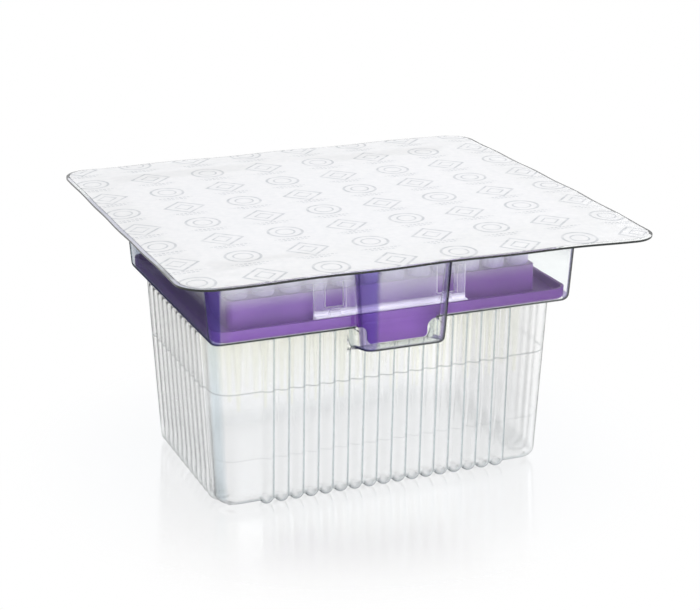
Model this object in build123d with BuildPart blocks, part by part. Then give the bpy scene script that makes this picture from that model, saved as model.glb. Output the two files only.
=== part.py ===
"""Sealed blister refill of 96 pipette tips: a clear thermoformed tray under a peelable sheet,
holding a moulded rack, its latch plates and twelve columns of eight tips.

Millimetres, +Z up. The origin is the centre of the footprint, on the surface the tray stands on.
X runs along the twelve columns and Y along the eight rows.
"""

from build123d import *
import os
from math import atan, cos, degrees, radians, tan

os.makedirs("parts", exist_ok=True)

# --- tips: the microplate pitch sets everything that holds them ---
pitch = 9.0
columns = 12
rows = 8
tip_sides = 8
collar_radius = 3.7
collar_height = 12.4
collar_bore_radius = 2.75
neck_radius = 2.75
point_radius = 0.65
outlet_radius = 0.3
tip_body_length = 39.0

# --- blister tray: its widths are the gaps left round the block of tips, and the steps between its walls ---
sheet_wall = 0.5
flange_end_reach = 16.6
flange_side_reach = 28.0
flange_corner = 10.0
flange_thickness = 0.7
flange_top = 89.6
ledge_height = 60.5
well_end_gap = 8.7
well_side_gap = 10.7
well_corner = 3.6
well_bottom_round = 2.4
well_draft = 4.0
body_end_gap = 3.6
body_side_gap = 1.0
body_corner = 5.0
body_draft = 2.7
body_floor = 1.4
body_bottom_round = 3.0
bay_half_width = 14.2
bay_reach = 7.7
bay_corner = 3.2
bay_draft = 4.2
bay_floor_drop = 5.3
bay_floor_slope = 3.6

# --- ribs of the lower body ---
rib_end_margin = 13.4
rib_side_margin = 8.4
rib_radius = 2.25
rib_spacing = 0.7  # flat wall between two flutes
rib_height = 1.3
rib_sides = 12
rib_foot_reach = 0.75  # level foot beyond the bend
rib_rise_run = 5.0
rib_rise = 2.1

# --- lidding sheet ---
lid_thickness = 0.25
lid_margin = 1.2

# --- tip rack ---
rack_clearance = 0.45
rack_corner = 5.0
rack_edge_round = 1.8
shelf_thickness = 1.4
rim_height = 4.2
rim_thickness = 1.2
block_margin = 4.5
block_height = 10.5
block_wall = 1.5
block_corner = 2.0
deck_thickness = 1.8
hole_clearance = 0.25
tongue_half_width = 10.4
tongue_thickness = 1.4
tongue_drop = 6.0
tongue_shoulder = 3.0
tongue_round = 1.5

# --- latch plates ---
plate_length = 53.0
plate_thickness = 1.0
plate_gap = 2.9
plate_top_gap = 2.2
plate_foot_depth = 2.2
plate_foot_height = 2.2
window_width = 6.2
window_height = 11.0
window_margin = 3.9
window_sill = 4.6
frame_width = 0.9
frame_height = 0.4
bump_width = 4.4
bump_height = 2.0

# --- sizes that follow ---
block_length = (columns - 1) * pitch + 2 * block_margin
block_width = (rows - 1) * pitch + 2 * block_margin
well_length = block_length + 2 * well_end_gap
well_width = block_width + 2 * well_side_gap
body_length = block_length + 2 * body_end_gap
body_width = block_width + 2 * body_side_gap
flange_length = well_length + 2 * flange_end_reach
flange_width = well_width + 2 * flange_side_reach
bay_front = well_width / 2 + bay_reach
bay_front_floor = ledge_height - bay_floor_drop
bay_inner_floor = bay_front_floor - bay_floor_slope
rib_pitch = 2 * rib_radius + rib_spacing
rib_foot_length = rib_radius + rib_foot_reach
front_ribs = int((body_length - 2 * rib_end_margin) / rib_pitch + 1e-6)
side_ribs = int((body_width - 2 * rib_side_margin) / rib_pitch + 1e-6)
rack_floor = ledge_height + sheet_wall
shelf_top = rack_floor + shelf_thickness
deck_top = rack_floor + block_height
rack_length = well_length - 2 * (sheet_wall + rack_clearance)
rack_width = well_width - 2 * (sheet_wall + rack_clearance)
well_depth = flange_top - ledge_height
plate_back = block_width / 2 + plate_gap
plate_top = flange_top - plate_top_gap


def rounded_prism(length, width, corner, bottom, top, draft):
    """A rounded rectangle that grows upwards by the draft angle."""
    with BuildPart() as prism:
        with BuildSketch(Plane.XY.offset(bottom)):
            RectangleRounded(length, width, corner)
        extrude(amount=top - bottom, taper=-draft)
    return prism.part


def well_form(inset, top):
    """The upper well, with its bottom edge rounded."""
    grow = tan(radians(well_draft))
    with BuildPart() as form:
        add(
            rounded_prism(
                well_length - 2 * inset + 2 * inset * grow,
                well_width - 2 * inset + 2 * inset * grow,
                well_corner - inset,
                ledge_height + inset,
                top,
                well_draft,
            )
        )
        fillet(form.faces().sort_by(Axis.Z)[0].edges(), well_bottom_round - inset)
    return form.part


def body_form(inset):
    """The lower body, up into the well, with its bottom edge rounded."""
    grow = tan(radians(body_draft))
    with BuildPart() as form:
        add(
            rounded_prism(
                body_length - 2 * inset + 2 * inset * grow,
                body_width - 2 * inset + 2 * inset * grow,
                body_corner - inset,
                body_floor + inset,
                ledge_height + well_bottom_round,
                body_draft,
            )
        )
        fillet(form.faces().sort_by(Axis.Z)[0].edges(), body_bottom_round - inset)
    return form.part


def bay_form(inset, top):
    """Both finger bays at once: a drafted block through the well, with floors that slope down inwards."""
    grow = tan(radians(bay_draft))
    floor_drop = bay_front_floor - bay_inner_floor
    half_width = bay_half_width - inset - (floor_drop - inset) * grow
    front = bay_front - inset - (floor_drop - inset) * grow
    with BuildPart() as form:
        add(
            rounded_prism(
                2 * half_width, 2 * front, bay_corner - inset, bay_inner_floor + inset, top, bay_draft
            )
        )
        for side in (-1, 1):
            with BuildSketch(Plane.YZ):
                with BuildLine():
                    Polyline(
                        (side * body_width / 2, bay_inner_floor + inset),
                        (side * bay_front, bay_front_floor + inset),
                        (side * bay_front, bay_inner_floor + inset),
                        close=True,
                    )
                make_face()
            extrude(amount=bay_half_width, both=True, mode=Mode.SUBTRACT)
    return form.part


def rib_form(half_span, radius):
    """One flute on the +Y wall: down the drafted wall, a level foot, then up into the floor."""
    lean = tan(radians(body_draft))
    foot_y = half_span + rib_height - rib_radius + lean * (rib_radius - body_floor)
    top_height = ledge_height + sheet_wall
    with BuildPart() as rib:
        with BuildLine(Plane.YZ) as path:
            Polyline(
                (foot_y + lean * (top_height - rib_radius), top_height),
                (foot_y, rib_radius),
                (foot_y - rib_foot_length, rib_radius),
                (foot_y - rib_foot_length - rib_rise_run, rib_radius + rib_rise),
            )
        with BuildSketch(Plane(origin=path.line @ 0, x_dir=(1, 0, 0), z_dir=path.line % 0)):
            RegularPolygon(radius, rib_sides, major_radius=False, rotation=180 / rib_sides)
        sweep(transition=Transition.RIGHT)
    return rib.part


def tray_form(inset, top):
    """The outside of the tray without its flange, or its inside when inset by the sheet."""
    radius = rib_radius - inset
    front_rib = rib_form(body_width / 2, radius)
    side_rib = rib_form(body_length / 2, radius)
    with BuildPart() as form:
        add(well_form(inset, top))
        add(body_form(inset))
        add(bay_form(inset, top))
        with GridLocations(rib_pitch, 0, front_ribs, 1):
            add(front_rib)
            add(front_rib, rotation=(0, 0, 180))
        with GridLocations(0, rib_pitch, 1, side_ribs):
            add(side_rib, rotation=(0, 0, 90))
            add(side_rib, rotation=(0, 0, -90))
    return form.part


def make_tray():
    outside = tray_form(0.0, flange_top)
    inside = tray_form(sheet_wall, flange_top + 1)
    with BuildPart() as tray:
        add(outside)
        with BuildSketch(Plane.XY.offset(flange_top)):
            RectangleRounded(flange_length, flange_width, flange_corner)
        extrude(amount=-flange_thickness)
        add(inside, mode=Mode.SUBTRACT)
    return tray.part


def make_lid():
    with BuildPart() as lid:
        with BuildSketch(Plane.XY.offset(flange_top)):
            RectangleRounded(
                flange_length - 2 * lid_margin,
                flange_width - 2 * lid_margin,
                flange_corner - lid_margin,
            )
        extrude(amount=lid_thickness)
    return lid.part


def make_rack():
    """Skirt with a raised rim, hollow block with its pierced deck, and a tongue at each long side."""
    with BuildPart() as rack:
        with BuildSketch(Plane.XY.offset(rack_floor)):
            RectangleRounded(rack_length, rack_width, rack_corner)
        extrude(amount=rim_height)
        fillet(rack.faces().sort_by(Axis.Z)[0].edges(), rack_edge_round)
        with BuildSketch(Plane.XY.offset(shelf_top)):
            RectangleRounded(
                rack_length - 2 * rim_thickness,
                rack_width - 2 * rim_thickness,
                rack_corner - rim_thickness,
            )
        extrude(amount=rim_height, mode=Mode.SUBTRACT)
        with BuildSketch(Plane.XY.offset(rack_floor)):
            RectangleRounded(block_length, block_width, block_corner)
        extrude(amount=block_height)
        with BuildSketch(Plane.XY.offset(rack_floor)):
            RectangleRounded(
                block_length - 2 * block_wall,
                block_width - 2 * block_wall,
                block_corner - block_wall,
            )
        extrude(amount=block_height - deck_thickness, mode=Mode.SUBTRACT)
        with BuildSketch(Plane.XY.offset(deck_top)):
            with GridLocations(pitch, pitch, columns, rows):
                RegularPolygon(neck_radius + hole_clearance, tip_sides)
        extrude(amount=-deck_thickness, mode=Mode.SUBTRACT)
        with BuildSketch(Plane.XZ.offset(rack_width / 2)) as tongue:
            with Locations((0, shelf_top)):
                Rectangle(
                    2 * tongue_half_width,
                    shelf_thickness + tongue_drop,
                    align=(Align.CENTER, Align.MAX),
                )
            fillet(tongue.vertices().group_by(Axis.Z)[0], tongue_round)
            with Locations((0, shelf_top)):
                Rectangle(
                    2 * (tongue_half_width + tongue_shoulder),
                    shelf_thickness + tongue_shoulder,
                    align=(Align.CENTER, Align.MAX),
                )
            with GridLocations(2 * (tongue_half_width + tongue_shoulder), 0, 2, 1):
                with Locations((0, rack_floor - tongue_shoulder)):
                    Circle(tongue_shoulder, mode=Mode.SUBTRACT)
        extrude(amount=-tongue_thickness)
        mirror(about=Plane.XZ)
    return rack.part


def make_latch_plate():
    """The front plate: a windowed wall on an L foot that stands on the rack's shelf."""
    with BuildPart() as plate:
        with BuildSketch(Plane.XZ.offset(plate_back)):
            with Locations((0, shelf_top)):
                Rectangle(plate_length, plate_top - shelf_top, align=(Align.CENTER, Align.MIN))
            window_x = plate_length / 2 - window_margin - window_width / 2
            window_z = shelf_top + window_sill + window_height / 2
            with Locations((-window_x, window_z), (window_x, window_z)):
                Rectangle(window_width, window_height, mode=Mode.SUBTRACT)
        extrude(amount=plate_thickness)
        with BuildSketch(Plane.XZ.offset(plate_back + plate_thickness)):
            with Locations((-window_x, window_z), (window_x, window_z)):
                Rectangle(window_width + 2 * frame_width, window_height + 2 * frame_width)
                Rectangle(window_width, window_height, mode=Mode.SUBTRACT)
        extrude(amount=frame_height)
        with BuildSketch(Plane.XZ.offset(plate_back + plate_thickness)):
            with Locations((0, shelf_top)):
                Rectangle(plate_length, plate_foot_height, align=(Align.CENTER, Align.MIN))
        extrude(amount=plate_foot_depth)
        with BuildSketch(Plane.XZ.offset(plate_back + plate_thickness)):
            with Locations(
                (-window_x, shelf_top + plate_foot_height),
                (window_x, shelf_top + plate_foot_height),
            ):
                Trapezoid(bump_width, bump_height, 70, align=(Align.CENTER, Align.MIN))
        extrude(amount=plate_foot_depth / 2)
    return plate.part


def tapered_peg(radius, end_radius, top, length):
    """A straight many-sided peg, then draft on its sides, so that every face stays flat."""
    lean = degrees(atan(cos(radians(180 / tip_sides)) * (radius - end_radius) / length))
    with BuildPart() as peg:
        with BuildSketch(Plane.XY.offset(top)):
            RegularPolygon(radius, tip_sides)
        extrude(amount=-length)
        sides = peg.faces().filter_by(Axis.Z, reverse=True)
        draft(sides, Plane.XY.offset(top), -lean)
    return peg.part


def make_tip():
    """One tip, with its collar's seat at the origin, and a tapered tube below it."""
    with BuildPart() as tip:
        with BuildSketch(Plane.XY):
            RegularPolygon(collar_radius, tip_sides)
        extrude(amount=collar_height)
        add(tapered_peg(neck_radius, point_radius, 0, tip_body_length))
        add(
            tapered_peg(
                collar_bore_radius, outlet_radius, collar_height, collar_height + tip_body_length
            ),
            mode=Mode.SUBTRACT,
        )
    return tip.part


def make_tip_column(index, tip):
    column_x = (index - (columns - 1) / 2) * pitch
    with BuildPart() as column:
        with Locations((column_x, 0, deck_top)):
            with GridLocations(0, pitch, 1, rows):
                add(tip)
    return column.part


def save(part, name):
    part.label = name
    export_step(part, f"parts/{name}.step")


if __name__ == "__main__":
    save(make_tray(), "blister_tray")
    save(make_lid(), "lid_sheet")
    save(make_rack(), "tip_rack")
    front_plate = make_latch_plate()
    save(front_plate, "latch_plate_front")
    save(front_plate.rotate(Axis.Z, 180), "latch_plate_rear")
    single_tip = make_tip()
    for number in range(columns):
        save(make_tip_column(number, single_tip), f"tip_column_{number + 1:02d}")
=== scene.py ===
"""Looks of a sealed refill box of pipette tips: clear thermoformed tray, white lidding,
purple rack with hazy latch plates, and twelve columns of eight natural tips.

Sizes are written in millimetres and turned to metres by MM."""

from functools import partial
from math import cos, pi, radians, sin, sqrt, tan
from types import SimpleNamespace

import bmesh
import bpy
import numpy as np
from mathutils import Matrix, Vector


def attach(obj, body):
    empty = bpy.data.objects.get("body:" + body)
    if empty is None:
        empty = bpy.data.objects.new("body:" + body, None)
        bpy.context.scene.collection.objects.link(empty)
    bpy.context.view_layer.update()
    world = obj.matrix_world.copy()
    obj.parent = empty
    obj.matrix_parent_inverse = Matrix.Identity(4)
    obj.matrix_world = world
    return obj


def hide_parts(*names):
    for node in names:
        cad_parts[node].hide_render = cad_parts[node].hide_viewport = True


MM = 0.001

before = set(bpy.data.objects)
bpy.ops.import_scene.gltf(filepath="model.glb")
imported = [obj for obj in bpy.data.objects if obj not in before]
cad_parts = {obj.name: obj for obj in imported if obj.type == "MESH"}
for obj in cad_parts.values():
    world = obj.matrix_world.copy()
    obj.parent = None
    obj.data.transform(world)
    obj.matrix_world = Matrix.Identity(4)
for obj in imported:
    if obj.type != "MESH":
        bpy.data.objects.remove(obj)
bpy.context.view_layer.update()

# ---------------------------------------------------------------- sizes, in mm

FLANGE_HALF = (79.3, 74.7)
FLANGE_CORNER = 10.0
FLANGE_TOP = 89.6
SHEET_WALL = 0.5
LEDGE = 60.5
WELL_HALF = (62.7, 46.7)
WELL_CORNER = 3.6
WELL_ROUND = 2.4
WELL_END_ROUND = 1.9
LEDGE_TURN = 0.9
LEDGE_END_TURN = 0.35
WELL_GROW = tan(radians(4.0))
BODY_HALF = (57.6, 37.0)
BODY_CORNER = 6.4
BODY_GROW = tan(radians(2.7))
BODY_FLOOR = 1.4
BODY_ROUND = 3.0
BAY_HALF_WIDTH = 14.2
BAY_FRONT = 54.4
BAY_CORNER = 4.2
BAY_ROUND = 1.6
BAY_GROW = tan(radians(4.2))
BAY_FRONT_FLOOR = 55.2
BAY_INNER_FLOOR = 51.6
BAY_FLOOR_SLOPE = (BAY_FRONT_FLOOR - BAY_INNER_FLOOR) / (BAY_FRONT - BODY_HALF[1])
FLUTE_PITCH = 5.2
FRONT_FLUTES = 17
SIDE_FLUTES = 11
FLUTE_RADIUS = 2.25
FLUTE_HEIGHT = 1.3
# Two faint chill marks run round the body, where the sheet paused on the mould: height and depth of shade.
CHILL_MARKS = ((41.1, 0.2), (17.7, 0.05))
LID_MARGIN = 1.2
LID_THICKNESS = 0.25
WELD = 0.01
CUT_EDGE_DROP = 0.2

PITCH = 9.0
COLUMNS = 12
ROWS = 8
DECK_TOP = 71.5


# ---------------------------------------------------------------- small tools

def smoothstep(low, high, value):
    t = np.clip((value - low) / (high - low), 0.0, 1.0)
    return t * t * (3.0 - 2.0 * t)


def new_object(name, data):
    """A new object in the scene, round a mesh, a lamp or a camera."""
    piece = bpy.data.objects.new(name, data)
    bpy.context.scene.collection.objects.link(piece)
    return piece


def mesh_from(name, points, faces):
    """A mesh from points in millimetres."""
    mesh = bpy.data.meshes.new(name)
    mesh.from_pydata([tuple(p) for p in np.asarray(points) * MM], [], faces)
    mesh.update()
    return mesh


def grid_faces(rows, count, closed=False):
    """Quads between rows of count points, each row a closed line; closed joins the last row to the first."""
    faces = []
    for row in range(rows if closed else rows - 1):
        here, there = row * count, (row + 1) % rows * count
        for i in range(count):
            j = (i + 1) % count
            faces.append((here + i, here + j, there + j, there + i))
    return faces


def bake(piece):
    """Turns a piece with live modifiers into a plain mesh."""
    graph = bpy.context.evaluated_depsgraph_get()
    mesh = bpy.data.meshes.new_from_object(piece.evaluated_get(graph))
    mesh.name = piece.name
    piece.modifiers.clear()
    piece.data = mesh


def smooth_by_angle(mesh, angle):
    """Smooth shading, with the edges past the angle kept sharp."""
    mesh.polygons.foreach_set("use_smooth", [True] * len(mesh.polygons))
    mesh.set_sharp_from_angle(angle=radians(angle))
    mesh.update()


def cad_copy(name, node):
    """A welded copy of a CAD node's mesh."""
    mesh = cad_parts[node].data.copy()
    mesh.name = name
    mesh.materials.clear()
    work = bmesh.new()
    work.from_mesh(mesh)
    bmesh.ops.remove_doubles(work, verts=work.verts, dist=0.004 * MM)
    bmesh.ops.dissolve_limit(work, angle_limit=radians(1.0), verts=work.verts, edges=work.edges)
    work.to_mesh(mesh)
    work.free()
    if "custom_normal" in mesh.attributes:
        mesh.attributes.remove(mesh.attributes["custom_normal"])
    return new_object(name, mesh)


def bevel_edges(piece, width, segments=2):
    """Rounds the sharp edges of a piece, by a width in millimetres."""
    bevel = piece.modifiers.new("edge_round", "BEVEL")
    bevel.width = width * MM
    bevel.segments = segments
    bevel.limit_method = "ANGLE"
    bevel.angle_limit = radians(30.0)
    bevel.harden_normals = False
    bake(piece)
    smooth_by_angle(piece.data, 40.0)


# ---------------------------------------------------------------- nodes

def hex_colour(text):
    """An sRGB hex colour as linear values."""
    channels = [int(text[i:i + 2], 16) / 255.0 for i in (1, 3, 5)]
    linear = [c / 12.92 if c <= 0.04045 else ((c + 0.055) / 1.055) ** 2.4 for c in channels]
    return (*linear, 1.0)


def add_node(tree, kind, settings=None, **inputs):
    """Adds a node; settings are its attributes, inputs its sockets (a value, or a socket to link)."""
    node = tree.nodes.new(kind)
    for key, value in (settings or {}).items():
        setattr(node, key, value)
    for key, value in inputs.items():
        socket = node.inputs[int(key[1:])] if key[0] == "_" else node.inputs[key.replace("_", " ")]
        if isinstance(value, bpy.types.NodeSocket):
            tree.links.new(value, socket)
        else:
            socket.default_value = value
    return node


def math_node(tree, operation, a, b=0.0):
    return add_node(tree, "ShaderNodeMath", {"operation": operation}, _0=a, _1=b).outputs[0]


def product(tree, first, *others):
    for other in others:
        first = math_node(tree, "MULTIPLY", first, other)
    return first


def total(tree, first, *others):
    for other in others:
        first = math_node(tree, "ADD", first, other)
    return first


def inverse(tree, share):
    return math_node(tree, "SUBTRACT", 1.0, share)


def mapped(tree, value, start, end, low=0.0, high=1.0, shape="LINEAR"):
    """low where the value is at start, high where it is at end, and no further beyond them."""
    return add_node(
        tree, "ShaderNodeMapRange", {"interpolation_type": shape}, Value=value,
        From_Min=start, From_Max=end, To_Min=low, To_Max=high
    ).outputs[0]


def split(tree, vector):
    """The X, Y and Z of a vector."""
    return list(add_node(tree, "ShaderNodeSeparateXYZ", Vector=vector).outputs)


def ramp(tree, factor, *stops):
    """A colour ramp; each stop is a place and an sRGB hex colour."""
    node = add_node(tree, "ShaderNodeValToRGB", Fac=factor)
    elements = node.color_ramp.elements
    while len(elements) < len(stops):
        elements.new(0.5)
    for element, (place, colour) in zip(elements, stops):
        element.position = place
        element.color = hex_colour(colour)
    return node.outputs["Color"]


def blended(tree, share, first, second, way="MIX"):
    """Colours laid over one another by share."""
    return add_node(
        tree, "ShaderNodeMix", {"data_type": "RGBA", "blend_type": way}, _0=share, _6=first, _7=second
    ).outputs[2]


def tinted(tree, share, colour, filter_colour):
    return blended(tree, share, colour, hex_colour(filter_colour), "MULTIPLY")


def mix_shader(tree, share, first, second):
    return add_node(tree, "ShaderNodeMixShader", _0=share, _1=first, _2=second).outputs[0]


def new_material(name):
    material = bpy.data.materials.new(name)
    material.use_nodes = True
    material.node_tree.nodes.clear()
    return material, material.node_tree


def surface(tree, shader):
    add_node(tree, "ShaderNodeOutputMaterial", Surface=shader)


def object_space(tree):
    return add_node(tree, "ShaderNodeTexCoord").outputs["Object"]


def new_group(name, **inputs):
    """A Geometry Nodes group and its inputs: geometry, then the named ones by kind, then a material."""
    tree = bpy.data.node_groups.new(name, "GeometryNodeTree")
    new_socket = tree.interface.new_socket
    new_socket("Geometry", in_out="OUTPUT", socket_type="NodeSocketGeometry")
    new_socket("Geometry", in_out="INPUT", socket_type="NodeSocketGeometry")
    for key, kind in inputs.items():
        new_socket(key.replace("_", " ").title(), in_out="INPUT", socket_type=f"NodeSocket{kind}")
    new_socket("Material", in_out="INPUT", socket_type="NodeSocketMaterial")
    return tree, add_node(tree, "NodeGroupInput").outputs


def close_group(tree, start, geometry):
    """Makes the geometry real, gives it the group's material and hands it out."""
    real = add_node(tree, "GeometryNodeRealizeInstances", Geometry=geometry)
    painted = add_node(tree, "GeometryNodeSetMaterial", Geometry=real.outputs[0], Material=start["Material"])
    add_node(tree, "NodeGroupOutput", _0=painted.outputs[0])
    return tree


def geometry_nodes(piece, tree, **values):
    """Runs a group on a piece with its named inputs, and leaves a plain mesh."""
    modifier = piece.modifiers.new(tree.name, "NODES")
    modifier.node_group = tree
    for item in tree.interface.items_tree:
        key = item.name.replace(" ", "_").lower()
        if item.in_out == "INPUT" and key in values:
            modifier[item.identifier] = values[key]
    bake(piece)


# ---------------------------------------------------------------- materials

def sheet_zones(tree, coordinates):
    """Where a point of the tray lies, and how far it belongs to each zone of the sheet, from 0 to 1."""
    x, y, z = split(tree, coordinates["Object"])
    turned = split(tree, coordinates["Normal"])[0]
    slope = add_node(tree, "ShaderNodeVectorMath", {"operation": "ABSOLUTE"}, _0=coordinates["Normal"])
    slope_x, slope_y, slope_z = split(tree, slope.outputs[0])
    squareness = math_node(tree, "MAXIMUM", math_node(tree, "MAXIMUM", slope_x, slope_y), slope_z)
    outside = math_node(tree, "ABSOLUTE", y)
    to_rear = mapped(tree, y, 34.0 * MM, 44.0 * MM, 1.0, 0.3)
    zone = SimpleNamespace(x=x, z=z, outside=outside)
    zone.rounded = mapped(tree, squareness, 0.985, 0.95)
    zone.level = mapped(tree, slope_z, 0.8, 0.95)
    zone.upright = mapped(tree, slope_z, 0.9, 0.7)
    zone.endward = mapped(tree, math_node(tree, "ABSOLUTE", x), 50.0 * MM, 55.0 * MM)
    zone.leftmost = product(tree, mapped(tree, x, -56.0 * MM, -60.0 * MM), to_rear)
    # Below the ledge, but not in the bays, the sheet is drawn thinner over a blasted mould: it blurs
    # what is behind it, and is faintly milky.
    below = mapped(tree, z, 61.5 * MM, 60.0 * MM)
    inward = mapped(tree, outside, 44.5 * MM, 42.5 * MM)
    zone.drawn = product(tree, below, inward)
    # Painted shade: faces turned to the left are made to mirror next to nothing, as if the studio were unlit on
    # that side, and corners that would bend light from there are painted darker. So are the left walls of the
    # bays.
    zone.lit = mapped(tree, turned, -0.3, -0.04, 0.06, 1.0)
    shaded = inverse(tree, zone.lit)
    zone.unlit_round = product(tree, mapped(tree, squareness, 0.998, 0.978), shaded, to_rear)
    beyond = mapped(tree, outside, 47.5 * MM, 49.5 * MM)
    zone.unlit_bay = product(tree, beyond, shaded, inverse(tree, zone.leftmost), inverse(tree, zone.rounded))
    # The body's left corners, found by the sum of x and y less what the draft adds.
    lean = product(tree, math_node(tree, "SUBTRACT", z, BODY_FLOOR * MM), 2.0 * BODY_GROW)
    out = math_node(tree, "SUBTRACT", math_node(tree, "SUBTRACT", outside, x), lean)
    corner = sum(BODY_HALF)
    near_corner = mapped(tree, out, (corner - 7.5) * MM, (corner - 5.5) * MM)
    zone.left_corner = product(tree, near_corner, zone.drawn, mapped(tree, turned, -0.55, -0.8))
    return zone


def sheet_tint(tree, normal, zone):
    """The sheet's colour: next to none square on, and grey where the eye runs along inside the sheet, with
    painted shade on the parts that face left.
    """
    facing = add_node(tree, "ShaderNodeLayerWeight", Blend=0.5, Normal=normal).outputs["Facing"]
    flats = ramp(tree, facing, (0.0, "#feffff"), (0.8, "#fdfefe"), (1.0, "#8b959b"))
    # Painted shade: the well's left wall greys at a slant, as if it looked into an unlit side of the room.
    left_wall = ramp(tree, facing, (0.5, "#ffffff"), (0.76, "#9fa6b4"), (1.0, "#50545f"))
    # Rounded corners carry the eye along the sheet sooner.
    rounds = ramp(tree, facing, (0.42, "#ffffff"), (0.58, "#c6cdd1"), (0.75, "#7b868e"), (1.0, "#3a434a"))
    # Painted shade: the left-facing rounds are tinted a cool grey-violet.
    rounds = tinted(tree, zone.unlit_round, rounds, "#dfd8ee")
    # The flutes are drawn thinner, so less so; on the long walls, seen more squarely, their flanks are
    # shaded as well.
    flutes = ramp(tree, facing, (0.5, "#ffffff"), (0.84, "#fafbfb"), (0.94, "#bfcacd"), (1.0, "#69767b"))
    flanks = ramp(
        tree, facing,
        (0.3, "#ffffff"), (0.5, "#f0f4f5"), (0.75, "#d9e0e3"), (0.94, "#b9c5c9"), (1.0, "#69767b")
    )
    flutes = blended(tree, math_node(tree, "MAXIMUM", zone.endward, zone.level), flanks, flutes)
    tint = blended(tree, zone.leftmost, flats, left_wall)
    tint = blended(tree, math_node(tree, "MAXIMUM", zone.rounded, zone.unlit_round), tint, rounds)
    tint = blended(tree, zone.drawn, tint, flutes)
    # Painted shade: the left walls of the bays are tinted darker.
    tint = tinted(tree, zone.unlit_bay, tint, "#cdc4df")
    # Painted shade: the body's left corners are tinted a little grey-blue.
    tint = tinted(tree, zone.left_corner, tint, "#f1f5f7")
    for height, depth in CHILL_MARKS:
        off = math_node(tree, "ABSOLUTE", math_node(tree, "SUBTRACT", zone.z, height * MM))
        mark = mapped(tree, off, 0.3 * MM, 0.12 * MM, 0.0, depth)
        tint = blended(tree, mark, tint, hex_colour("#5f6a71"))
    return tint


def sheet_mirror(tree, normal, zone):
    """The share of light that the sheet mirrors."""
    fresnel = add_node(tree, "ShaderNodeFresnel", IOR=1.5, Normal=normal).outputs[0]
    # Painted shade: faces turned to the left mirror less.
    skin = product(tree, math_node(tree, "MINIMUM", product(tree, fresnel, 0.7), 0.1), zone.lit)
    # Light caught inside the lower body's sheet is sent on; in the thicker rounds above it is lost. The end
    # walls above 11 mm are made to mirror less, a painted shade.
    raised = mapped(tree, zone.z, 7.0 * MM, 11.0 * MM)
    kept = math_node(tree, "SUBTRACT", 0.94, product(tree, zone.endward, 0.17, raised))
    caught = product(tree, mapped(tree, fresnel, 0.5, 0.9), product(tree, zone.drawn, kept))
    return math_node(tree, "MAXIMUM", skin, caught)


def sheet_milk(tree, zone, blue):
    """The share of white haze in the sheet: partly its own milkiness, partly painted light."""
    # A painted reflection of the bright front: the flat walls are hazed white under the flange, less so in the
    # bays and to the right.
    sealed = product(
        tree,
        mapped(tree, zone.z, 71.0 * MM, 82.0 * MM, 0.0, 0.36, "SMOOTHSTEP"),
        mapped(tree, zone.outside, 50.0 * MM, 53.0 * MM, 1.0, 0.6),
        mapped(tree, zone.x, 16.0 * MM, 34.0 * MM, 1.0, 0.6),
        inverse(tree, zone.unlit_bay),
        inverse(tree, math_node(tree, "MAXIMUM", zone.rounded, blue))
    )
    # Painted light: a faint white haze lightens the left wall, outside its rounds.
    painted_left_light = product(tree, zone.leftmost, inverse(tree, zone.rounded), 0.03)
    # Painted highlight: the walls just above the floor are hazed white along the feet.
    painted_foot_highlight = product(tree, mapped(tree, zone.z, 6.0 * MM, 2.0 * MM, 0.0, 0.2, "SMOOTHSTEP"), zone.upright)
    drawn = mapped(tree, zone.drawn, 0.0, 1.0, 0.004, 0.03)
    return total(tree, drawn, sealed, painted_left_light, product(tree, blue, 0.12), painted_foot_highlight)


def clear_polyester():
    """APET sheet, thermoformed: glossy and clear, grey-green where it is seen edge on."""
    material, tree = new_material("clear_apet_thermoformed")
    coordinates = add_node(tree, "ShaderNodeTexCoord").outputs
    zone = sheet_zones(tree, coordinates)
    # Sheet drawn over a mould keeps a faint orange peel of a few millimetres.
    peel = add_node(tree, "ShaderNodeTexNoise", Vector=coordinates["Object"], Scale=160.0, Detail=1.5)
    bump = add_node(tree, "ShaderNodeBump", Strength=0.10, Distance=0.0006, Height=peel.outputs[0])
    normal = bump.outputs[0]
    bent = add_node(
        tree, "ShaderNodeBsdfRefraction", Color=sheet_tint(tree, normal, zone),
        Roughness=mapped(tree, zone.drawn, 0.0, 1.0, 0.03, 0.21), IOR=1.48, Normal=normal
    ).outputs[0]
    gloss = add_node(
        tree, "ShaderNodeBsdfGlossy", Color=hex_colour("#ffffff"), Roughness=0.05, Normal=normal
    ).outputs[0]
    glass = mix_shader(tree, sheet_mirror(tree, normal, zone), bent, gloss)
    # Lamps shine straight through a sheet this thin.
    in_shadow = add_node(tree, "ShaderNodeLightPath").outputs["Is Shadow Ray"]
    open_air = add_node(tree, "ShaderNodeBsdfTransparent", Color=hex_colour("#f4f6f5")).outputs[0]
    sheet = mix_shader(tree, in_shadow, glass, open_air)
    # Painted light: a faint blue haze is laid on the left-hand rounds above the body.
    blue = product(tree, zone.unlit_round, inverse(tree, zone.drawn))
    hue = blended(tree, blue, hex_colour("#f6f8f8"), hex_colour("#7a78d2"))
    haze = add_node(tree, "ShaderNodeBsdfDiffuse", Color=hue, Normal=normal).outputs[0]
    surface(tree, mix_shader(tree, sheet_milk(tree, zone, blue), sheet, haze))
    return material


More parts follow.
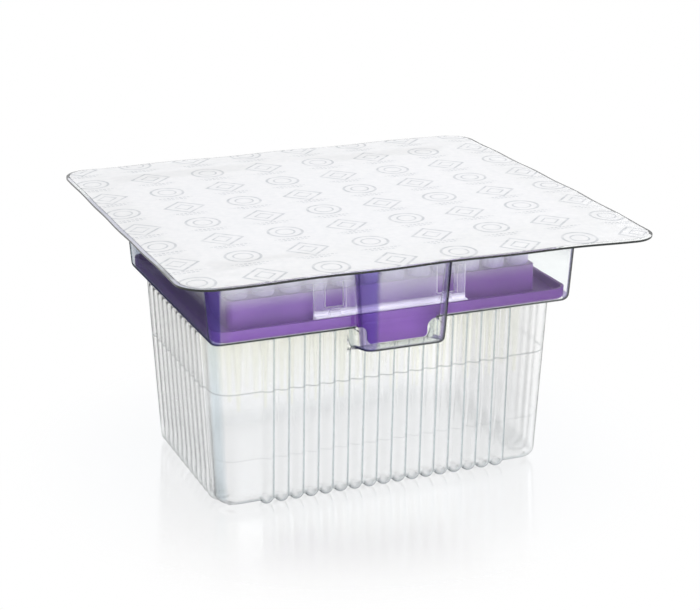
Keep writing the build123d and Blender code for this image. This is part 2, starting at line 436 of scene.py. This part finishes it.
def overprint(tree, where):
    """A pale grey security overprint: rings and diamonds by turns on a square grid, each over two dashes."""
    calc = partial(math_node, tree)

    def line(distance, half_width):
        """1 where distance is within half_width of zero, with a soft edge."""
        away = calc("ABSOLUTE", distance)
        return mapped(tree, away, half_width * 1.35, half_width * 0.65, shape="SMOOTHSTEP")

    def outlines(distance, outer, outer_line, inner, inner_line):
        """A figure drawn twice, one inside the other."""
        return calc(
            "MAXIMUM", line(calc("SUBTRACT", distance, outer), outer_line),
            line(calc("SUBTRACT", distance, inner), inner_line)
        )

    x, y, _ = split(tree, where)
    cell_x, cell_y, lift = 21.0, 20.0, 2.0
    across = calc("DIVIDE", x, cell_x * MM)
    along = calc("DIVIDE", y, cell_y * MM)
    dx = calc("MULTIPLY", calc("SUBTRACT", calc("FRACT", across), 0.5), cell_x)
    dy = calc("SUBTRACT", calc("MULTIPLY", calc("SUBTRACT", calc("FRACT", along), 0.5), cell_y), lift)
    turn = calc("ABSOLUTE", calc("MODULO", calc("ADD", calc("FLOOR", across), calc("FLOOR", along)), 2.0))
    reach = calc("SQRT", calc("ADD", calc("MULTIPLY", dx, dx), calc("MULTIPLY", dy, dy)))
    spread = calc("ADD", calc("ABSOLUTE", dx), calc("ABSOLUTE", dy))
    rings = outlines(reach, 5.5, 0.42, 3.0, 0.3)
    diamonds = outlines(spread, 6.8, 0.55, 3.2, 0.4)
    motif = add_node(tree, "ShaderNodeMix", {"data_type": "FLOAT"}, _0=turn, _2=rings, _3=diamonds).outputs[0]
    # The dashes are broken up into short bits.
    bits = calc("GREATER_THAN", calc("FRACT", calc("MULTIPLY", dx, 0.71)), 0.28)
    for drop, half in ((7.8, 6.0), (9.4, 4.3)):
        dash = product(tree, line(calc("ADD", dy, drop), 0.38), line(dx, half), bits)
        motif = calc("MAXIMUM", motif, dash)
    return motif


def cut_polyester():
    """The die-cut edge of the sheet: light caught inside the sheet leaves it dark grey-green."""
    material, tree = new_material("clear_apet_cut_edge")
    shader = add_node(
        tree, "ShaderNodeBsdfPrincipled", Base_Color=hex_colour("#161d1b"), Roughness=0.25, IOR=1.55
    )
    surface(tree, shader.outputs[0])
    return material


def coated_lidding():
    """Coated spun-fibre lidding, heat sealed: matt white, faintly mottled, with a pale grey overprint."""
    material, tree = new_material("coated_spunbonded_lidding")
    where = object_space(tree)
    mottle = add_node(tree, "ShaderNodeTexNoise", Vector=where, Scale=520.0, Detail=4.0).outputs[0]
    base = ramp(tree, mottle, (0.25, "#f1f2f4"), (0.75, "#fafafb"))
    # The ink lies thin on the fibres, so it breaks up.
    wear = add_node(tree, "ShaderNodeTexNoise", Vector=where, Scale=300.0, Detail=3.0).outputs[0]
    ink = product(tree, overprint(tree, where), mapped(tree, wear, 0.35, 0.6, 0.35, 0.8))
    skin = add_node(
        tree, "ShaderNodeBsdfPrincipled", Base_Color=blended(tree, ink, base, hex_colour("#c0c4c9")),
        Roughness=0.6, IOR=1.5, Specular_IOR_Level=0.25
    ).outputs[0]
    glow = add_node(tree, "ShaderNodeBsdfTranslucent", Color=hex_colour("#f6f6f8")).outputs[0]
    surface(tree, mix_shader(tree, 0.18, skin, glow))
    return material


def purple_polypropylene():
    """Injection-moulded polypropylene, satin, slightly translucent."""
    material, tree = new_material("purple_polypropylene_moulded")
    where = object_space(tree)
    cloud = add_node(tree, "ShaderNodeTexNoise", Vector=where, Scale=90.0, Detail=2.0).outputs[0]
    base = ramp(tree, cloud, (0.3, "#603387"), (0.7, "#693b90"))
    # Painted shade: the base colour is a little darker to the right, away from the lamps.
    base = tinted(tree, mapped(tree, split(tree, where)[0], 5.0 * MM, 30.0 * MM), base, "#e4dbdf")
    # Painted light: the plastic glows faintly in its base colour, standing in for light that enters it elsewhere
    # and lifts its shaded faces.
    shader = add_node(
        tree, "ShaderNodeBsdfPrincipled", Base_Color=base, Roughness=0.42, Specular_IOR_Level=0.2,
        Emission_Color=base, Emission_Strength=0.22
    )
    surface(tree, shader.outputs[0])
    return material


def hazy_polypropylene():
    """Natural polypropylene moulded thin: milky, lets the purple behind it show."""
    material, tree = new_material("natural_polypropylene_hazy")
    white = hex_colour("#efeaf8")
    # The thick foot and the edges read white, the thin web between them almost clear.
    height = split(tree, object_space(tree))[2]
    foot = mapped(tree, height, 66.2 * MM, 64.4 * MM, 0.0, 0.75)
    # Painted highlight: the foot also glows white, as a bright band.
    milk = add_node(
        tree, "ShaderNodeBsdfPrincipled", Base_Color=white, Roughness=0.3, IOR=1.49,
        Emission_Color=white, Emission_Strength=product(tree, foot, 0.3)
    ).outputs[0]
    clear = add_node(tree, "ShaderNodeBsdfTransparent", Color=hex_colour("#fbfafd")).outputs[0]
    facing = add_node(tree, "ShaderNodeLayerWeight", Blend=0.5).outputs["Facing"]
    edge = mapped(tree, facing, 0.16, 0.6, 0.09, 0.75)
    share = math_node(tree, "MINIMUM", total(tree, foot, edge), 0.95)
    surface(tree, mix_shader(tree, share, clear, milk))
    return material


def tip_polypropylene():
    """Unfilled polypropylene of the tips: natural, translucent, satin."""
    material, tree = new_material("natural_polypropylene_tip")
    height = split(tree, object_space(tree))[2]
    # The collars look cool and milky, the bodies clearer; the rack's purple in the collars' feet is painted
    # light bled from the deck, and the collars glow faintly, painted light that lifts them out of the lid's
    # shade.
    upper = mapped(tree, height, 66.0 * MM, 71.0 * MM)
    climb = mapped(tree, height, 71.0 * MM, 84.0 * MM)
    collar = ramp(tree, climb, (0.0, "#8a6bb0"), (0.3, "#b9b2d0"), (0.6, "#dcdde9"))
    colour = blended(tree, upper, hex_colour("#eef1f1"), collar)
    # Painted light: the emission makes the collars glow in their own colour.
    skin = add_node(
        tree, "ShaderNodeBsdfPrincipled", Base_Color=colour, Roughness=0.35, IOR=1.49,
        Emission_Color=colour, Emission_Strength=product(tree, upper, 0.35)
    ).outputs[0]
    glow = add_node(tree, "ShaderNodeBsdfTranslucent", Color=colour).outputs[0]
    milk = mix_shader(tree, 0.4, skin, glow)
    clear = add_node(tree, "ShaderNodeBsdfTransparent", Color=hex_colour("#fffffd")).outputs[0]
    facing = add_node(tree, "ShaderNodeLayerWeight", Blend=0.4).outputs["Facing"]
    square_on = mapped(tree, upper, 0.0, 1.0, 0.05, 0.7)
    edge_on = mapped(tree, upper, 0.0, 1.0, 0.17, 0.9)
    # The walls thin out towards the points, which are almost clear.
    thick = mapped(tree, height, 28.0 * MM, 58.0 * MM, 0.12, 1.0)
    share = product(tree, mapped(tree, facing, 0.0, 1.0, square_on, edge_on), thick)
    surface(tree, mix_shader(tree, share, clear, milk))
    return material


# ---------------------------------------------------------------- blister tray

CORNER_STEPS = 12
PLAIN_STEPS = 6
FLUTE_MARKS = (0.0, 0.55, 0.8, 1.2, 1.65, 2.1, 2.6, 3.1, 3.55, 4.0, 4.4, 4.65)
BAY_STATIONS = 67
BAY_WALL_STEPS = 8
BAY_ARC_STEPS = 9
# Values that keep a point out of the flutes: off their row, and sunk deeper than they stand proud.
OFF_ROW = 9.0
SUNK = 99.0
# Under the body the flutes' feet sink into the floor, by this much for each millimetre inwards.
FOOT_INSETS = (3.4, 3.95, 4.5, 5.1, 5.7, 6.3, 6.9, 7.4)
FOOT_FADE = 0.42
# Heights of the body's levels below the bays, and how far a chill mark dents each.
BODY_LEVELS = (
    (51.0, 0.0), (46.0, 0.0), (41.45, 0.0), (41.2, 0.02), (40.95, 0.02), (40.7, 0.0), (35.0, 0.0),
    (29.0, 0.0), (23.0, 0.0), (18.05, 0.0), (17.8, 0.012), (17.55, 0.012), (17.3, 0.0), (12.0, 0.0),
    (8.0, 0.0), (5.5, 0.0),
)


def flute_row(count):
    """Stations across a row of flutes, closest at each flute's foot."""
    half = count * FLUTE_PITCH / 2
    marks = [-half + i * FLUTE_PITCH + m for i in range(count) for m in FLUTE_MARKS]
    return np.array(marks + [half])


FRONT_ROW = flute_row(FRONT_FLUTES)
SIDE_ROW = flute_row(SIDE_FLUTES)


def side_stations(row, reach):
    """Places along one side, from -reach to reach, with the flutes' places fixed."""
    left = np.linspace(-reach, row[0], PLAIN_STEPS, endpoint=False)
    right = np.linspace(row[-1], reach, PLAIN_STEPS + 1)[1:]
    return np.concatenate([left, row, right])


def bay_outline(wall, half_width, front, corner):
    """A finger bay's U, from the wall out, round the front and back, as (x, distance out)."""
    out = np.linspace(wall, front - corner, BAY_WALL_STEPS + 1)
    turn = np.linspace(0, pi / 2, BAY_ARC_STEPS + 1)[1:-1]
    side = [(-half_width, y) for y in out]
    arc = [(-half_width + corner - corner * cos(a), front - corner + corner * sin(a)) for a in turn]
    rest = BAY_STATIONS - 2 * (len(side) + len(arc))
    flat = [(x, front) for x in np.linspace(-half_width + corner, half_width - corner, rest)]
    back = [(-x, y) for x, y in reversed(side + arc)]
    return np.array(side + arc + flat + back)


def ring(level):
    """One closed line round the tray, and how far each of its points is from the middle of a flute."""
    (hx, hy), corner = level["half"], level["corner"]
    bay = level.get("bay")
    points, across = [], []
    turn = np.linspace(0, pi / 2, CORNER_STEPS + 1)[1:-1]
    for side in range(4):
        row = FRONT_ROW if side % 2 == 0 else SIDE_ROW
        reach, out = ((hx, hy) if side % 2 == 0 else (hy, hx))
        u = side_stations(row, reach - corner)
        local = np.stack([u, np.full_like(u, out), np.full_like(u, level["z"])], axis=1)
        if side % 2 == 0 and bay:
            middle = len(u) // 2
            first = middle - BAY_STATIONS // 2
            last = first + BAY_STATIONS
            edge = abs(u[first])
            foot = bay["half"] if level["z"] > LEDGE + 0.01 else edge
            stretch = (row[-1] - foot) / (row[-1] - edge)
            beside = (np.abs(u) > edge) & (np.abs(u) < row[-1])
            local[beside, 0] = np.sign(u[beside]) * (
                foot + (np.abs(u[beside]) - edge) * stretch
            )
            shape = bay_outline(out, bay["half"], bay["front"], bay["corner"])
            flat = np.stack([u[first:last], np.full(BAY_STATIONS, out)], axis=1)
            mixed = shape * (1 - bay["close"]) + flat * bay["close"]
            local[first:last, :2] = mixed
            floor = BAY_INNER_FLOOR + (mixed[:, 1] - BODY_HALF[1]) * BAY_FLOOR_SLOPE
            if bay["above"] is not None:
                local[first:last, 2] = floor + bay["above"]
        # Local frame: u runs along the side, out runs away from the middle.
        a = -pi / 2 + side * pi / 2
        ex, ey = (cos(a + pi / 2), sin(a + pi / 2)), (cos(a), sin(a))
        for p, q in zip(local, u):
            points.append((p[0] * ex[0] + p[1] * ey[0], p[0] * ex[1] + p[1] * ey[1], p[2]))
            across.append((q + row[-1]) % FLUTE_PITCH - FLUTE_PITCH / 2 if abs(q) < row[-1] else OFF_ROW)
        cx, cy = reach - corner, out - corner
        for b in turn:
            x, y = cx + corner * sin(b), cy + corner * cos(b)
            points.append((x * ex[0] + y * ey[0], x * ex[1] + y * ey[1], level["z"]))
            across.append(OFF_ROW)
    return np.array(points), np.array(across)


def in_bay():
    """The stations of the front and rear bays in a ring."""
    width = len(FRONT_ROW) + 2 * PLAIN_STEPS
    depth = len(SIDE_ROW) + 2 * PLAIN_STEPS
    half = width + depth + 2 * (CORNER_STEPS - 1)
    first = width // 2 - BAY_STATIONS // 2
    front = np.arange(first - 1, first + BAY_STATIONS + 1)
    return np.concatenate([front, front + half])


def well_level(z, inset=(0.0, 0.0)):
    """The well's outline at a height, drawn in by inset at its ends and its long sides."""
    grow = (z - LEDGE) * WELL_GROW
    return {
        "half": (WELL_HALF[0] + grow - inset[0], WELL_HALF[1] + grow - inset[1]),
        "corner": max(WELL_CORNER + grow - min(inset), 1.0),
        "z": z,
        "bay": bay_level(z),
    }


def bay_level(z, inset=0.0, above=None, close=0.0):
    """A bay's outline at a height; above is its height over the bay's floor, close how far it is shut."""
    grow = (z - BAY_FRONT_FLOOR) * BAY_GROW
    return {
        "half": BAY_HALF_WIDTH + grow - inset,
        "front": BAY_FRONT + grow - inset,
        "corner": max(BAY_CORNER + grow - inset, 0.8),
        "above": above,
        "close": close,
    }


def body_level(z, inset=0.0, bay=None):
    """The body's outline at a height, drawn in by inset."""
    grow = (z - BODY_FLOOR) * BODY_GROW
    return {
        "half": (BODY_HALF[0] + grow - inset, BODY_HALF[1] + grow - inset),
        "corner": max(BODY_CORNER + grow * 0.4 - inset, 1.5),
        "z": z,
        "bay": bay,
    }


def tray_levels():
    """Levels from the flange's edge, down the walls, to the middle of the floor."""
    under = FLANGE_TOP - SHEET_WALL
    levels = []
    edge = {"half": FLANGE_HALF, "corner": FLANGE_CORNER, "z": under, "bay": None, "sink": SUNK}
    lip = 1.0
    opening = well_level(under, (-lip, -lip))
    opening["bay"] = bay_level(under, -lip)
    # Flange, and the lip that turns down from it.
    for share in (0.0, 0.012, 0.2, 0.4, 0.6, 0.8, 0.95):
        levels.append({"blend": (edge, opening, share), "sink": SUNK})
    for step in range(5):
        angle = pi / 2 * step / 4
        out = lip * (1 - sin(angle))
        level = well_level(under - lip * (1 - cos(angle)), (-out, -out))
        level["bay"] = bay_level(level["z"], -out)
        levels.append({**level, "sink": SUNK})
    # Well wall, and its round down to the ledge.
    for z in (83.0, 76.0, 69.0, 65.0, LEDGE + WELL_ROUND):
        levels.append({**well_level(z), "sink": SUNK})
    for step in range(1, 7):
        angle = pi / 2 * step / 6
        inward = 1 - cos(angle)
        level = well_level(LEDGE + WELL_ROUND * (1 - sin(angle)), (WELL_END_ROUND * inward, WELL_ROUND * inward))
        levels.append({**level, "sink": SUNK})
    # Ledge, and the turn down into the body.
    for step in range(5):
        angle = pi / 2 * step / 4
        out = 1 - sin(angle)
        z = LEDGE - LEDGE_TURN * (1 - cos(angle))
        level = body_level(z, 0.0, bay_level(z))
        level["half"] = (level["half"][0] + LEDGE_END_TURN * out, level["half"][1] + LEDGE_TURN * out)
        levels.append({**level, "sink": 4.0 if step == 0 else 1.2 * out})
    levels.append({**body_level(58.4, 0.0, bay_level(58.4)), "sink": 0.0})
    # The bays' floors, drawn in level by level to the body's wall.
    for step in range(6):
        angle = pi / 2 * step / 5
        z = 57.4 - 0.7 * step
        bay = bay_level(BAY_FRONT_FLOOR, BAY_ROUND * (1 - cos(angle)), BAY_ROUND * (1 - sin(angle)))
        levels.append({**body_level(z, 0.0, bay), "sink": 0.0})
    for step, close in enumerate((0.25, 0.5, 0.75, 0.93)):
        bay = bay_level(BAY_FRONT_FLOOR, BAY_ROUND, 0.0, close)
        levels.append({**body_level(53.5 - 0.35 * step, 0.0, bay), "sink": 0.0})
    bay = bay_level(BAY_FRONT_FLOOR, BAY_ROUND, -0.3, 1.0)
    levels.append({**body_level(51.9, 0.0, bay), "sink": 0.0})
    for z, dent in BODY_LEVELS:
        levels.append({**body_level(z, dent), "sink": 0.0})
    # Bottom round, the flutes' feet under it, and the plain floor.
    for step in range(9):
        angle = pi / 2 * step / 8
        level = body_level(
            BODY_FLOOR + BODY_ROUND * (1 - sin(angle)), BODY_ROUND * (1 - cos(angle))
        )
        levels.append({**level, "sink": 0.0})
    for inset in FOOT_INSETS:
        level = body_level(BODY_FLOOR, inset)
        level["corner"] = 1.0
        levels.append({**level, "sink": max(0.0, (inset - FOOT_INSETS[1]) * FOOT_FADE)})
    last = levels[-1]
    for share in (0.75, 0.45, 0.15):
        levels.append({"shrink": (last, share), "sink": SUNK})
    return levels


def level_points(level):
    """A level's ring, or one between two rings, or one drawn in towards the middle."""
    if "blend" in level:
        outer, inner, share = level["blend"]
        a, across = ring(outer)
        b, _ = ring(inner)
        return a * (1 - share) + b * share, across
    if "shrink" in level:
        outer, share = level["shrink"]
        a, across = ring(outer)
        return a * (share, share, 1.0), across
    return ring(level)


def flange_sag(x, y):
    """How far the flange and the sheet on it hang below level, in mm."""
    corner = 0.85 * np.exp(-((x - 80) ** 2 + (y + 75) ** 2) / (2 * 26.0**2))
    edge = np.maximum(np.abs(x) / FLANGE_HALF[0], np.abs(y) / FLANGE_HALF[1])
    wave = 0.16 * (1 + np.sin(x * 0.145 + 0.8) * np.cos(y * 0.05)) + 0.12 * (1 + np.sin(y * 0.21 + 1.9))
    return (corner + wave * smoothstep(0.86, 1.0, edge)) * smoothstep(0.72, 0.95, edge)


def flute_tree():
    """Geometry Nodes: pushes the sheet out into half-round flutes, each sunk by its own amount."""
    tree, start = new_group("flutes", flute_radius="Float", flute_height="Float")
    calc = partial(math_node, tree)

    def attribute(name, kind="FLOAT"):
        return add_node(
            tree, "GeometryNodeInputNamedAttribute", {"data_type": kind}, Name=name
        ).outputs["Attribute"]

    radius, height = start["Flute Radius"], start["Flute Height"]
    across = attribute("flute_across")
    inside = calc("SUBTRACT", calc("MULTIPLY", radius, radius), calc("MULTIPLY", across, across))
    chord = calc("SQRT", calc("MAXIMUM", inside, 0.0))
    crown = calc("SUBTRACT", chord, calc("SUBTRACT", radius, height))
    push = calc("MAXIMUM", calc("SUBTRACT", crown, attribute("flute_sink")), 0.0)
    outward = attribute("flute_out", "FLOAT_VECTOR")
    offset = add_node(tree, "ShaderNodeVectorMath", {"operation": "SCALE"}, _0=outward, Scale=push).outputs[0]
    moved = add_node(tree, "GeometryNodeSetPosition", Geometry=start["Geometry"], Offset=offset)
    return close_group(tree, start, moved.outputs[0])


def tray_grid():
    """The smooth tray as rows of points, with each point's place across a flute and sink, in mm."""
    points, across, sinks = [], [], []
    for level in tray_levels():
        row, row_across = level_points(level)
        sink = np.full(len(row), level["sink"])
        bay = level.get("bay")
        if bay and bay["close"] < 1.0:
            sink[in_bay()] = SUNK
        points.append(row)
        across.append(row_across)
        sinks.append(sink)
    points = np.array(points)
    at_flange = points[:, :, 2] > FLANGE_TOP - 1.6
    points[:, :, 2] -= flange_sag(points[:, :, 0], points[:, :, 1]) * at_flange
    return points, np.array(across), np.array(sinks)


def outward_of(points):
    """The direction out of the smooth sheet at each point, before it is fluted."""
    along = np.roll(points, -1, axis=1) - np.roll(points, 1, axis=1)
    down = np.empty_like(points)
    down[1:-1] = points[2:] - points[:-2]
    down[0], down[-1] = points[1] - points[0], points[-1] - points[-2]
    outward = np.cross(down, along)
    length = np.linalg.norm(outward, axis=2, keepdims=True)
    return np.where(length > 1e-9, outward / np.maximum(length, 1e-9), (0, 0, -1))


def at_cut_edge(x, y, z):
    """Whether a point lies low on the flange's rim."""
    past_x = max(abs(x) - FLANGE_HALF[0] + FLANGE_CORNER, 0.0)
    past_y = max(abs(y) - FLANGE_HALF[1] + FLANGE_CORNER, 0.0)
    return sqrt(past_x**2 + past_y**2) > FLANGE_CORNER - 0.1 and z < FLANGE_TOP - flange_sag(x, y) - 0.3


def make_tray(material, edge_material):
    """The tray: a smooth grid, fluted by Geometry Nodes and given the thickness of its sheet."""
    points, across, sinks = tray_grid()
    rows, count = points.shape[:2]
    faces = [face[:1] + face[:0:-1] for face in grid_faces(rows, count)]
    faces.append([(rows - 1) * count + i for i in reversed(range(count))])
    mesh = mesh_from("blister_tray_formed", points.reshape(-1, 3), faces)
    for name, kind, slot, values in (
        ("flute_across", "FLOAT", "value", across * MM),
        ("flute_sink", "FLOAT", "value", sinks * MM),
        ("flute_out", "FLOAT_VECTOR", "vector", outward_of(points)),
    ):
        flat_values = np.ascontiguousarray(values, dtype=np.float32).reshape(-1)
        mesh.attributes.new(name, kind, "POINT").data.foreach_set(slot, flat_values)
    piece = new_object("blister_tray_formed", mesh)
    geometry_nodes(
        piece, flute_tree(), flute_radius=FLUTE_RADIUS * MM, flute_height=FLUTE_HEIGHT * MM, material=material
    )
    for name in ("flute_across", "flute_sink", "flute_out"):
        piece.data.attributes.remove(piece.data.attributes[name])
    work = bmesh.new()
    work.from_mesh(piece.data)
    for vertex in work.verts:
        vertex.co.z = max(vertex.co.z, 0.0)
    bmesh.ops.remove_doubles(work, verts=work.verts, dist=WELD * MM)
    work.to_mesh(piece.data)
    work.free()
    shell = piece.modifiers.new("sheet", "SOLIDIFY")
    shell.thickness = SHEET_WALL * MM
    shell.offset = -1.0
    piece.data.materials.append(edge_material)
    shell.material_offset_rim = 1
    bake(piece)
    # The cut edge stands a little proud below the sheet.
    for vertex in piece.data.vertices:
        if at_cut_edge(*(vertex.co / MM)):
            vertex.co.z -= CUT_EDGE_DROP * MM
    smooth_by_angle(piece.data, 50.0)
    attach(piece, "root")
    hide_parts("blister_tray")


# ---------------------------------------------------------------- lidding

# How far each ring of the sheet is drawn in from its edge.
LID_SHARES = (0.0, 0.02, 0.05, 0.09, 0.14, 0.2, 0.3, 0.4, 0.5, 0.6, 0.7, 0.8, 0.9)


def make_lid(material):
    """The sheet sealed over the tray."""
    half = (FLANGE_HALF[0] - LID_MARGIN, FLANGE_HALF[1] - LID_MARGIN)
    edge, _ = ring({"half": half, "corner": FLANGE_CORNER - LID_MARGIN, "z": 0.0})
    edge = edge[::2]
    points = np.concatenate([edge * (1 - share) for share in LID_SHARES] + [np.zeros((1, 3))])
    # The sheet hangs with the flange that it is sealed to.
    points[:, 2] = FLANGE_TOP + LID_THICKNESS - flange_sag(points[:, 0], points[:, 1])
    rows, count = len(LID_SHARES), len(edge)
    last, middle = (rows - 1) * count, rows * count
    faces = grid_faces(rows, count)
    faces += [(last + i, last + (i + 1) % count, middle) for i in range(count)]
    mesh = mesh_from("lidding_sheet", points, faces)
    mesh.materials.append(material)
    piece = new_object("lidding_sheet", mesh)
    shell = piece.modifiers.new("sheet", "SOLIDIFY")
    shell.thickness = LID_THICKNESS * MM
    shell.offset = -1.0
    bake(piece)
    smooth_by_angle(piece.data, 50.0)
    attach(piece, "root")
    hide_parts("lid_sheet")


# ---------------------------------------------------------------- tips

TIP_PROFILE = (
    # radius, height above the deck; outside from the outlet up, then the bore back down
    (0.45, -39.0), (0.65, -38.9), (0.72, -37.0), (1.35, -22.0), (1.45, -21.4), (2.25, -6.0),
    (2.70, -0.15), (2.70, 0.0), (3.35, 0.0), (3.55, 0.35), (3.60, 1.6), (3.60, 11.6), (3.70, 11.75),
    (3.70, 12.25), (3.55, 12.4), (2.95, 12.4), (2.75, 12.2), (2.65, 9.0), (2.05, -6.0), (1.1, -22.0),
    (0.40, -38.2), (0.35, -39.0),
)
TIP_SIDES = 24


def tip_tree():
    """Geometry Nodes: one column of tips, stood at the pitch along Y, each turned at random."""
    tree, start = new_group("tip_column", tips="Int", pitch="Float", column_place="Vector")
    step = add_node(tree, "ShaderNodeCombineXYZ", Y=start["Pitch"])
    line = add_node(
        tree, "GeometryNodeMeshLine", {"mode": "OFFSET"}, Count=start["Tips"],
        Start_Location=start["Column Place"], Offset=step.outputs[0]
    )
    turn = add_node(tree, "FunctionNodeRandomValue", {"data_type": "FLOAT"}, _3=2 * pi, Seed=7)
    spin = add_node(tree, "ShaderNodeCombineXYZ", Z=turn.outputs[1])
    stand = add_node(
        tree, "GeometryNodeInstanceOnPoints", Points=line.outputs[0], Instance=start["Geometry"],
        Rotation=spin.outputs[0]
    )
    return close_group(tree, start, stand.outputs[0])


def turned_tip():
    """One tip as a closed turned mesh: outside, rim and bore."""
    angles = [2 * pi * k / TIP_SIDES for k in range(TIP_SIDES)]
    points = [(radius * cos(a), radius * sin(a), height) for radius, height in TIP_PROFILE for a in angles]
    return points, grid_faces(len(TIP_PROFILE), TIP_SIDES, closed=True)


def make_tips(material):
    """Twelve columns of tips, each column one piece."""
    points, faces = turned_tip()
    tree = tip_tree()
    for index in range(COLUMNS):
        name = f"tips_moulded_{index + 1:02d}"
        piece = new_object(name, mesh_from(name, points, faces))
        place = ((index - (COLUMNS - 1) / 2) * PITCH * MM, -(ROWS - 1) / 2 * PITCH * MM, DECK_TOP * MM)
        geometry_nodes(piece, tree, tips=ROWS, pitch=PITCH * MM, column_place=place, material=material)
        smooth_by_angle(piece.data, 35.0)
        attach(piece, "root")
        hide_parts(f"tip_column_{index + 1:02d}")


# ---------------------------------------------------------------- rack and latch plates

def make_rack(material):
    """The rack as modelled, with its edges rounded."""
    piece = cad_copy("rack_moulded", "tip_rack")
    piece.data.materials.append(material)
    bevel_edges(piece, 0.25)
    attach(piece, "root")
    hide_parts("tip_rack")


def make_plates(material):
    """The latch plates as modelled, with their edges rounded."""
    for end in ("front", "rear"):
        piece = cad_copy(f"latch_plate_moulded_{end}", f"latch_plate_{end}")
        piece.data.materials.append(material)
        bevel_edges(piece, 0.3, 3)
        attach(piece, "root")
        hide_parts(f"latch_plate_{end}")


# ---------------------------------------------------------------- studio

def seen_plainly(tree):
    """1 for what the eye sees directly, in gloss or through clear sheet; 0 for light that fills the scene."""
    path = add_node(tree, "ShaderNodeLightPath").outputs
    seen = math_node(tree, "MAXIMUM", path["Is Camera Ray"], path["Is Transmission Ray"])
    seen = math_node(tree, "MAXIMUM", seen, path["Is Glossy Ray"])
    return product(tree, seen, math_node(tree, "LESS_THAN", path["Diffuse Depth"], 0.5))


def floor_paper():
    """White studio paper: plain white to the eye, and grey only where the object shades it."""
    material, tree = new_material("white_studio_paper")
    away = add_node(
        tree, "ShaderNodeVectorMath", {"operation": "LENGTH"}, _0=object_space(tree)
    ).outputs["Value"]
    share = product(tree, seen_plainly(tree), mapped(tree, away, 0.06, 0.12, 0.94, 1.0))
    paper = add_node(tree, "ShaderNodeBsdfDiffuse", Color=hex_colour("#f4f5f6")).outputs[0]
    white = add_node(tree, "ShaderNodeEmission", Color=hex_colour("#ffffff"), Strength=1.0).outputs[0]
    sheet = mix_shader(tree, share, paper, white)
    # The paper has a slight polish, so the object mirrors faintly in it.
    polish = add_node(tree, "ShaderNodeBsdfGlossy", Color=hex_colour("#f6f9fd"), Roughness=0.12).outputs[0]
    near = mapped(tree, away, 0.045, 0.13, 0.3, 0.0, "SMOOTHERSTEP")
    surface(tree, mix_shader(tree, near, sheet, polish))
    return material


def make_floor():
    half = 3.0
    corners = [(-half, -half, 0), (half, -half, 0), (half, half, 0), (-half, half, 0)]
    mesh = bpy.data.meshes.new("studio_floor")
    mesh.from_pydata(corners, [], [(0, 1, 2, 3)])
    mesh.materials.append(floor_paper())
    floor = new_object("studio_floor", mesh)


def make_light():
    """A white room that lights softly, and three square lamps aimed at the box."""
    world = bpy.data.worlds.new("studio_light")
    bpy.context.scene.world = world
    world.use_nodes = True
    tree = world.node_tree
    tree.nodes.clear()
    soft, white = (
        add_node(tree, "ShaderNodeBackground", Color=hex_colour("#ffffff"), Strength=strength).outputs[0]
        for strength in (0.4, 1.0)
    )
    add_node(tree, "ShaderNodeOutputWorld", Surface=mix_shader(tree, seen_plainly(tree), soft, white))

    for name, place, size, power in (
        ("front_softbox", (0.2, -1.2, 0.32), 0.7, 8.0),
        ("top_softbox", (0.1, 0.1, 1.3), 0.9, 10.4),
        ("side_softbox", (1.0, -0.1, 0.4), 0.5, 2.2),
    ):
        light = bpy.data.lights.new(name, "AREA")
        light.shape = "SQUARE"
        light.size = size
        light.energy = power
        lamp = new_object(name, light)
        lamp.location = place
        aim = Vector((0, 0, 0.05)) - Vector(place)
        lamp.rotation_euler = aim.to_track_quat("-Z", "Y").to_euler()


def make_camera():
    camera = bpy.data.cameras.new("camera")
    camera.sensor_width = 36.0
    camera.lens = 94.89
    camera.clip_start = 0.01
    eye = new_object("camera", camera)
    eye.location = (-0.224018, -0.55706, 0.254431)
    eye.rotation_euler = (radians(90 - 18.58), 0.0, radians(-22.09))
    bpy.context.scene.camera = eye


def main():
    scene = bpy.context.scene
    scene.view_settings.view_transform = "Standard"
    scene.cycles.max_bounces = 24
    scene.cycles.transparent_max_bounces = 48
    scene.cycles.transmission_bounces = 16
    make_camera()
    make_floor()
    make_light()
    make_tray(clear_polyester(), cut_polyester())
    make_lid(coated_lidding())
    make_rack(purple_polypropylene())
    make_plates(hazy_polypropylene())
    make_tips(tip_polypropylene())


main()
